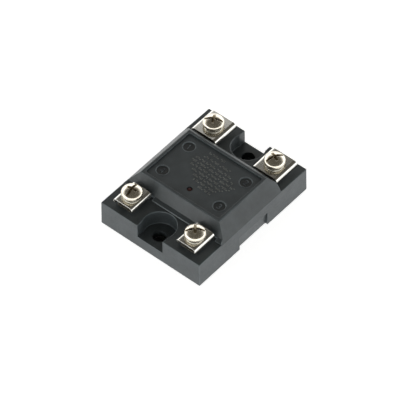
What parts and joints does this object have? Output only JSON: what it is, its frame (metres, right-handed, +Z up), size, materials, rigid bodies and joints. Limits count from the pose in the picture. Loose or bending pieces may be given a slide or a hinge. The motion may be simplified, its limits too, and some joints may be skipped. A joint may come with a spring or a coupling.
{
  "type": "solid state relay",
  "caption": "Flat rectangular relay module: bevelled centre block with a sunk top panel, saddle-clamp screw terminals at the corners, notched ends with mounting holes, metal base.",
  "frame": {"origin": "centre of the heat-sink face, the underside of the metal base plate", "axes": "+X along the length from the control terminals to the load terminals; +Y across the width towards terminals 1 and 4; +Z up, away from the heat sink"},
  "size_m": [0.058, 0.045, 0.0177],
  "materials": {
    "black_plastic": "satin moulded thermoplastic",
    "base_metal": "machined, matte",
    "ceramic": "white fired ceramic",
    "silicon": "polished die",
    "potting_compound": "soft cast compound",
    "board_laminate": "glass-filled laminate with solder mask",
    "tinned_copper": "tinned",
    "package_plastic": "moulded",
    "capacitor_case": "dipped",
    "resistor_body": "lacquered",
    "component_black": "moulded",
    "led_red": "clear encapsulant, unlit",
    "light_pipe_red": "dark red tinted plastic",
    "bar_metal": "nickel plated brass",
    "clamp_metal": "nickel plated, satin",
    "washer_metal": "nickel plated spring steel",
    "screw_metal": "nickel plated, polished head"
  },
  "bodies": {
    "relay_body": {"housing": "black_plastic", "base_plate": "base_metal", "ceramic_substrate": "ceramic", "thyristor_1": "silicon", "thyristor_2": "silicon", "potting": "potting_compound", "circuit_board": "board_laminate", "gate_pins": "tinned_copper", "optocoupler": "package_plastic", "snubber_capacitor": "capacitor_case", "snubber_resistor": "resistor_body", "input_resistor": "component_black", "input_diode": "component_black", "input_transistor": "component_black", "status_led": "led_red", "light_pipe": "light_pipe_red", "load_bar_1": "bar_metal", "load_bar_2": "bar_metal", "control_bar_3": "bar_metal", "control_bar_4": "bar_metal", "terminal_nuts": "bar_metal"},
    "clamp_1": {"clamp_1": "clamp_metal"},
    "screw_1": {"screw_1": "screw_metal", "lock_washer_1": "washer_metal"},
    "clamp_2": {"clamp_2": "clamp_metal"},
    "screw_2": {"screw_2": "screw_metal", "lock_washer_2": "washer_metal"},
    "clamp_3": {"clamp_3": "clamp_metal"},
    "screw_3": {"screw_3": "screw_metal", "lock_washer_3": "washer_metal"},
    "clamp_4": {"clamp_4": "clamp_metal"},
    "screw_4": {"screw_4": "screw_metal", "lock_washer_4": "washer_metal"}
  },
  "joints": [
    {"name": "clamp_1_lift", "type": "slide", "parent": "relay_body", "child": "clamp_1", "axis": [0, 0, 1], "range_m": [-0.0007, 0.0028]},
    {"name": "screw_1_turn", "type": "hinge", "parent": "clamp_1", "child": "screw_1", "pos_m": [0.0215, 0.0139, 0.0151], "axis": [0, 0, 1], "range_deg": [-361, 1441]},
    {"name": "clamp_2_lift", "type": "slide", "parent": "relay_body", "child": "clamp_2", "axis": [0, 0, 1], "range_m": [-0.0007, 0.0028]},
    {"name": "screw_2_turn", "type": "hinge", "parent": "clamp_2", "child": "screw_2", "pos_m": [0.0215, -0.0139, 0.0151], "axis": [0, 0, 1], "range_deg": [-361, 1441]},
    {"name": "clamp_3_lift", "type": "slide", "parent": "relay_body", "child": "clamp_3", "axis": [0, 0, 1], "range_m": [-0.0007, 0.0028]},
    {"name": "screw_3_turn", "type": "hinge", "parent": "clamp_3", "child": "screw_3", "pos_m": [-0.0215, -0.0143, 0.0151], "axis": [0, 0, 1], "range_deg": [-361, 1441]},
    {"name": "clamp_4_lift", "type": "slide", "parent": "relay_body", "child": "clamp_4", "axis": [0, 0, 1], "range_m": [-0.0007, 0.0028]},
    {"name": "screw_4_turn", "type": "hinge", "parent": "clamp_4", "child": "screw_4", "pos_m": [-0.0215, 0.0143, 0.0151], "axis": [0, 0, 1], "range_deg": [-361, 1441]}
  ],
  "couplings": [
    {"joint": "screw_1_turn", "follows": "clamp_1_lift", "rad_per_m": 8976},
    {"joint": "screw_2_turn", "follows": "clamp_2_lift", "rad_per_m": 8976},
    {"joint": "screw_3_turn", "follows": "clamp_3_lift", "rad_per_m": 8976},
    {"joint": "screw_4_turn", "follows": "clamp_4_lift", "rad_per_m": 8976}
  ]
}
